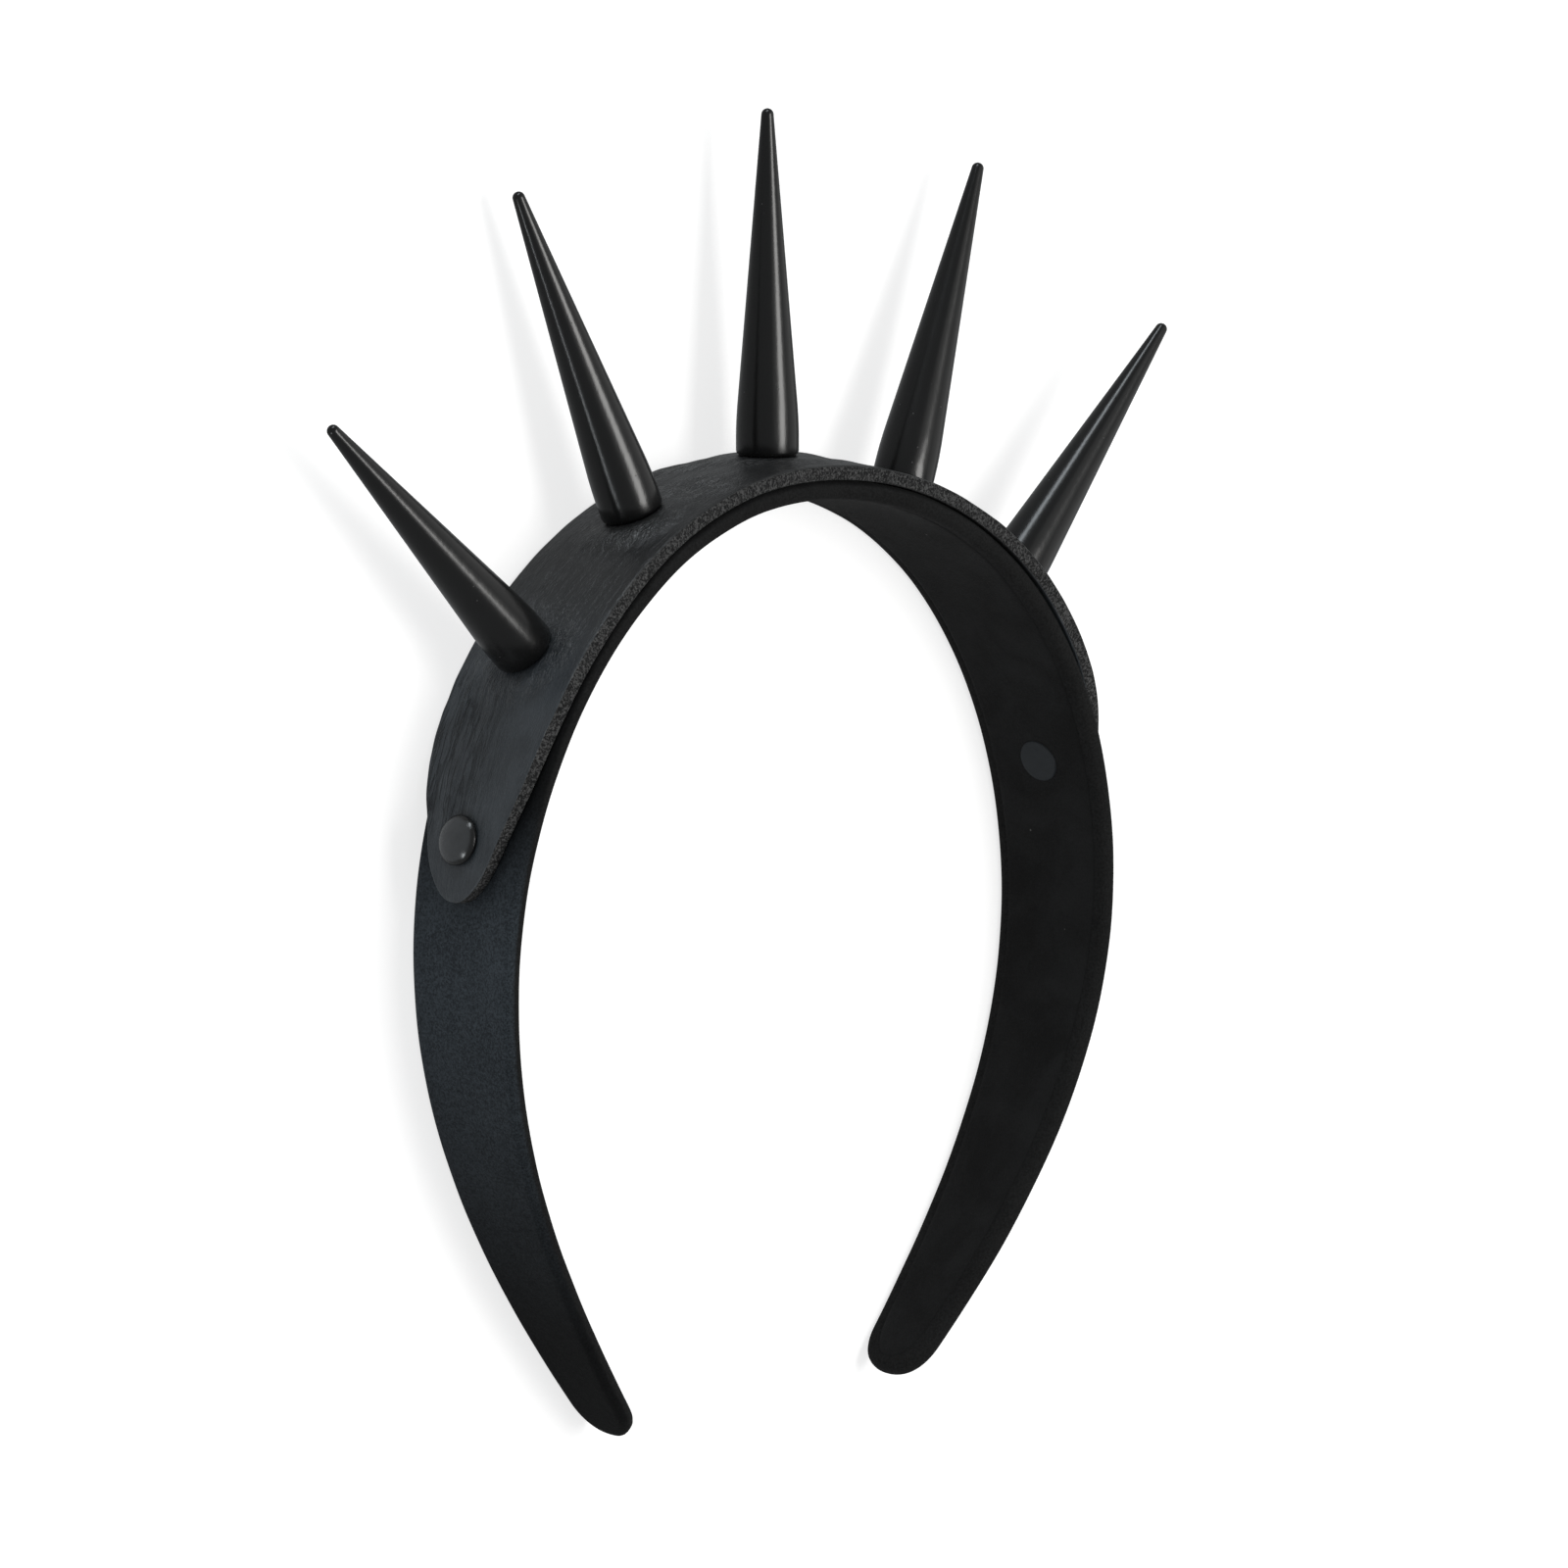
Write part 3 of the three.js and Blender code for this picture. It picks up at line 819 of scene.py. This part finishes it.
def make_spikes():
    foot, tip, shoulder = SPIKE_RADIUS, SPIKE_TIP_RADIUS, SPIKE_STRAIGHT_FOOT
    top = CLEARANCE + SPIKE_HEIGHT
    rise = top - tip - shoulder
    slope = (foot - tip) / rise * SPIKE_NECK_ROUND
    angles = [math.radians(degrees) for degrees in shares(4, 84, steps=8)]
    profile = [
        (0, STANDING_GAP),
        *edge_points(foot, STANDING_GAP, SPIKE_FOOT_EDGE),
        *[(foot - drop * slope, shoulder + up * SPIKE_NECK_ROUND) for drop, up in SPIKE_NECK],
        *[(foot + (tip - foot) * t, shoulder + rise * t) for t in shares(0.05, 0.97, steps=12)],
        *[(tip * math.cos(a), top - tip + tip * math.sin(a)) for a in angles],
        (0, top),
    ]
    for seat in SEATS:
        bm = stand(spun(profile, SPIKE_SIDES), seat.middle, seat.axis)
        show(bm, f"{seat.name}_cone", [GLOSS], [seat.name])


RIVET_SIDES = 48
RIVET_CAP_EDGE = [(0.25, 0), (0, 0.2)]
RIVET_DISC_EDGE = [(0.5, 0), (0.12, 0.08), (0, 0.3)]
# a power of 0.5 would make the cap's dome an ellipse
RIVET_DOME_POWER = 0.75


def make_rivets():
    reach = STRAP_HALF_LENGTH - RIVET_FROM_STRAP_END
    dome = [
        (RIVET_CAP_RADIUS * r, RIVET_RIM + RIVET_DOME * (1 - r * r) ** RIVET_DOME_POWER)
        for r in shares(1, 0, steps=18)
    ]
    cap = [(0, 0), *edge_points(RIVET_CAP_RADIUS, 0, RIVET_CAP_EDGE), *dome]
    head_top = RIVET_HEAD_PROUD + LINING_WALL
    shank_top = RIVET_HEAD_PROUD + strap_outer(reach) - LINING_INNER
    post = [
        (0, 0),
        *edge_points(RIVET_HEAD_RADIUS, 0, RIVET_DISC_EDGE),
        (RIVET_HEAD_RADIUS, head_top),
        (RIVET_SHANK_RADIUS, head_top),
        (RIVET_SHANK_RADIUS, shank_top),
        (0, shank_top),
    ]
    for side, arc in (("left", -reach), ("right", reach)):
        normal = (spine(arc)[2] - Vector((0, 0, flare_slope(arc)))).normalized()
        middle = place(arc, band_half_width(arc), 0)
        outside = middle + normal * (strap_outer(arc) + STANDING_GAP)
        inside = middle + normal * (LINING_INNER - RIVET_HEAD_PROUD)
        bm = stand(spun(cap, RIVET_SIDES), outside, normal)
        show(bm, f"rivet_dome_{side}", [ENAMEL], [f"rivet_cap_{side}"])
        bm = stand(spun(post, RIVET_SIDES), inside, normal)
        show(bm, f"rivet_disc_{side}", [DISC], [f"rivet_post_{side}"])


make_band()
make_lining()
make_strap()
make_spikes()
make_rivets()
# The screws are hidden, and keep their CAD shape.
for seat in SEATS:
    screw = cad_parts[f"{seat.name}_screw"]
    screw.data.materials.clear()
    screw.data.materials.append(STEEL)


# The floor, the light and the camera. Places and sizes of the floor and the lights are in metres.
FLOOR_HALF_SIDE = 4
WORLD_COLOR = (0.95, 0.98, 1, 1)
WORLD_STRENGTH = 0.32
# name, place, aim, size, power in watts, color
SOFTBOXES = [
    ("key", (0.18, 0.05, 1.0), (0, 0.05, 0), (0.60, 0.38), 6.2, (1, 0.99, 0.97)),
    ("top", (0.25, 0.30, 1.10), (0.2, 0.2, 0), (1.1, 1.3), 1.7, (1, 0.99, 0.97)),
    ("side", (1.10, 0.10, 0.50), (0, 0, 0), (1.4, 1.0), 1.4, (1, 0.98, 0.95)),
    ("back", (-0.25, 1.05, 0.12), (0, 0, 0.05), (0.56, 0.22), 3.3, (0.88, 0.95, 1)),
    ("low", (-0.87, -0.48, 0.09), (-0.05, 0, 0.01), (0.22, 0.14), 1.3, (0.92, 0.97, 1)),
]
# The view, fitted to the photo. Its distance and aim are in the object's millimetres.
VIEW_TURN = math.radians(-47.3757)
VIEW_RISE = math.radians(7.706)
VIEW_ROLL = math.radians(0.8415)
VIEW_DISTANCE = 1263.8
VIEW_AIM = TOP + Vector((2.350, -43.947, 12.154))
VIEW_LENS = 200.2
VIEW_SENSOR = 36
VIEW_STARTS = 0.05

scene = bpy.context.scene
scene.view_settings.view_transform = "Standard"

sheet = bmesh.new()
bmesh.ops.create_grid(sheet, x_segments=1, y_segments=1, size=FLOOR_HALF_SIDE)
floor_mesh = bpy.data.meshes.new("floor")
sheet.to_mesh(floor_mesh)
sheet.free()
floor_mesh.materials.append(PAPER)
floor = bpy.data.objects.new("floor", floor_mesh)
scene.collection.objects.link(floor)
# The paper lights the headband, but isn't mirrored in its gloss.
floor.visible_glossy = False

world = bpy.data.worlds.new("studio")
world.use_nodes = True
air = world.node_tree.nodes["Background"].inputs
air["Color"].default_value = WORLD_COLOR
air["Strength"].default_value = WORLD_STRENGTH
scene.world = world


def softbox(name, spot, aim, size, power, color):
    """A wide soft lamp at a spot, turned to its aim."""
    lamp = bpy.data.lights.new(name, "AREA")
    lamp.shape = "RECTANGLE"
    lamp.size, lamp.size_y = size
    lamp.energy = power
    lamp.color = color
    holder = bpy.data.objects.new(name, lamp)
    scene.collection.objects.link(holder)
    way = Vector(spot) - Vector(aim)
    holder.matrix_world = Matrix.Translation(spot) @ way.to_track_quat("Z", "Y").to_matrix().to_4x4()


for row in SOFTBOXES:
    softbox(*row)

camera_data = bpy.data.cameras.new("camera")
camera_data.sensor_width = VIEW_SENSOR
camera_data.lens = VIEW_LENS
camera_data.clip_start = VIEW_STARTS
camera = bpy.data.objects.new("camera", camera_data)
scene.collection.objects.link(camera)
scene.camera = camera
level = Vector((math.cos(VIEW_TURN), 0, -math.sin(VIEW_TURN)))
back = Vector((
    math.sin(VIEW_TURN) * math.cos(VIEW_RISE),
    math.sin(VIEW_RISE),
    math.cos(VIEW_TURN) * math.cos(VIEW_RISE),
))
turn = Matrix((level, back.cross(level), back)).transposed() @ Matrix.Rotation(VIEW_ROLL, 3, "Z")
camera.matrix_world = Matrix.Translation((VIEW_AIM + back * VIEW_DISTANCE) * MM) @ turn.to_4x4()
